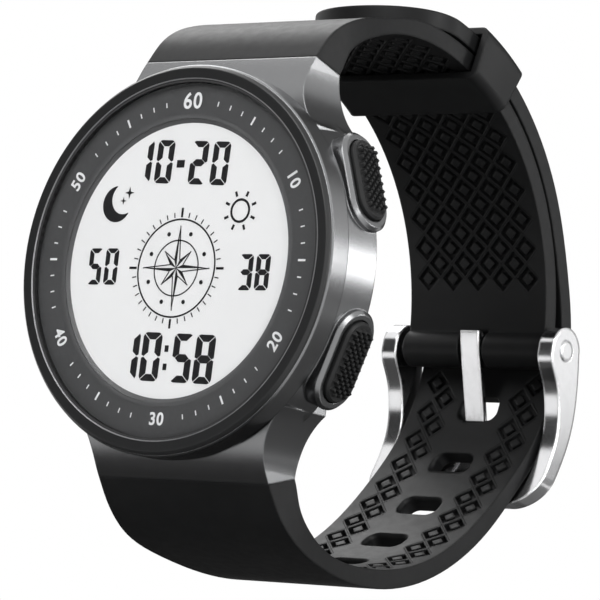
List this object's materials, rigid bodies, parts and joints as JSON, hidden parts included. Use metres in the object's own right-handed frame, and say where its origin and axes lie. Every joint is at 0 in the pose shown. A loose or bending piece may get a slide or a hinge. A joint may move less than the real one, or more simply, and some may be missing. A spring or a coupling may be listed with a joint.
{
  "type": "digital wristwatch",
  "caption": "Round digital wristwatch with studded side pushers, a display window and a buckled rubber strap closed round the wrist.",
  "frame": {"origin": "centre of the case back's outer face, which lies on the wrist", "axes": "+X to 3 o'clock, +Z to 12 o'clock, +Y from the case back into the wrist; the dial faces -Y"},
  "size_m": [0.0492, 0.0703, 0.074],
  "materials": {
    "case_metal": "dark grey metallic lacquer, satin to glossy",
    "bezel_black": "black lacquer, satin",
    "dial_black": "matt black print",
    "crystal_glass": "clear and polished",
    "display_grey": "pale grey display glass",
    "light_guide": "milky light guide",
    "frame_plastic": "moulded, matt",
    "board_green": "solder mask, satin",
    "chip_black": "epoxy coating, glossy",
    "cell_steel": "brushed",
    "spring_steel": "drawn wire and strip, bright",
    "sounder_brass": "rolled, satin",
    "back_steel": "brushed, satin",
    "strap_rubber": "moulded silicone, satin",
    "seal_rubber": "black nitrile, matt",
    "contact_rubber": "pale layered contact rubber",
    "pusher_rubber": "studded black rubber cap, satin",
    "buckle_chrome": "polished chrome"
  },
  "bodies": {
    "watch": {"case_body": "case_metal", "bezel_ring": "bezel_black", "crystal": "crystal_glass", "crystal_gasket": "seal_rubber", "dial_ring": "dial_black", "lcd_cell": "display_grey", "backlight_panel": "light_guide", "module_frame": "frame_plastic", "connector_strips": "contact_rubber", "circuit_board": "board_green", "controller_chip": "chip_black", "quartz_can": "cell_steel", "battery": "cell_steel", "battery_clip": "spring_steel", "buzzer_disc": "sounder_brass", "buzzer_spring": "spring_steel", "module_cushion": "seal_rubber", "case_back": "back_steel", "case_back_gasket": "seal_rubber", "case_back_screws": "cell_steel", "switch_blades": "spring_steel", "spring_bar_upper": "cell_steel", "spring_bar_lower": "cell_steel", "strap_upper": "strap_rubber", "strap_lower": "strap_rubber", "spring_light": "spring_steel", "spring_mode": "spring_steel", "spring_start": "spring_steel", "spring_reset": "spring_steel"},
    "light_pusher": {"pusher_light": "pusher_rubber", "seal_light": "seal_rubber", "clip_light": "spring_steel"},
    "mode_pusher": {"pusher_mode": "pusher_rubber", "seal_mode": "seal_rubber", "clip_mode": "spring_steel"},
    "start_pusher": {"pusher_start": "pusher_rubber", "seal_start": "seal_rubber", "clip_start": "spring_steel"},
    "reset_pusher": {"pusher_reset": "pusher_rubber", "seal_reset": "seal_rubber", "clip_reset": "spring_steel"},
    "buckle": {"buckle_frame": "buckle_chrome", "buckle_pin": "buckle_chrome"},
    "tongue": {"buckle_tongue": "buckle_chrome"},
    "strap_keeper": {"keeper": "strap_rubber"}
  },
  "joints": [
    {"name": "light_press", "type": "slide", "parent": "watch", "child": "light_pusher", "axis": [0.9426, 0, -0.3338], "range_m": [0, 0.0009], "stiffness_N_per_m": 1200, "springref_m": -0.0006, "deforming": ["spring_light"]},
    {"name": "mode_press", "type": "slide", "parent": "watch", "child": "mode_pusher", "axis": [0.9426, 0, 0.3338], "range_m": [0, 0.0009], "stiffness_N_per_m": 1200, "springref_m": -0.0006, "deforming": ["spring_mode"]},
    {"name": "start_press", "type": "slide", "parent": "watch", "child": "start_pusher", "axis": [-0.9426, 0, -0.3338], "range_m": [0, 0.0009], "stiffness_N_per_m": 1200, "springref_m": -0.0006, "deforming": ["spring_start"]},
    {"name": "reset_press", "type": "slide", "parent": "watch", "child": "reset_pusher", "axis": [-0.9426, 0, 0.3338], "range_m": [0, 0.0009], "stiffness_N_per_m": 1200, "springref_m": -0.0006, "deforming": ["spring_reset"]},
    {"name": "buckle_hinge", "type": "hinge", "parent": "watch", "child": "buckle", "pos_m": [0, 0.05218, -0.0007], "axis": [1, 0, 0], "range_deg": [0, 70]},
    {"name": "tongue_hinge", "type": "hinge", "parent": "watch", "child": "tongue", "pos_m": [0, 0.05218, -0.0007], "axis": [1, 0, 0], "range_deg": [0, 5]},
    {"name": "keeper_slide", "type": "hinge", "parent": "watch", "child": "strap_keeper", "pos_m": [0, 0.0179, 0.0002], "axis": [1, 0, 0], "range_deg": [-34, 12]}
  ]
}
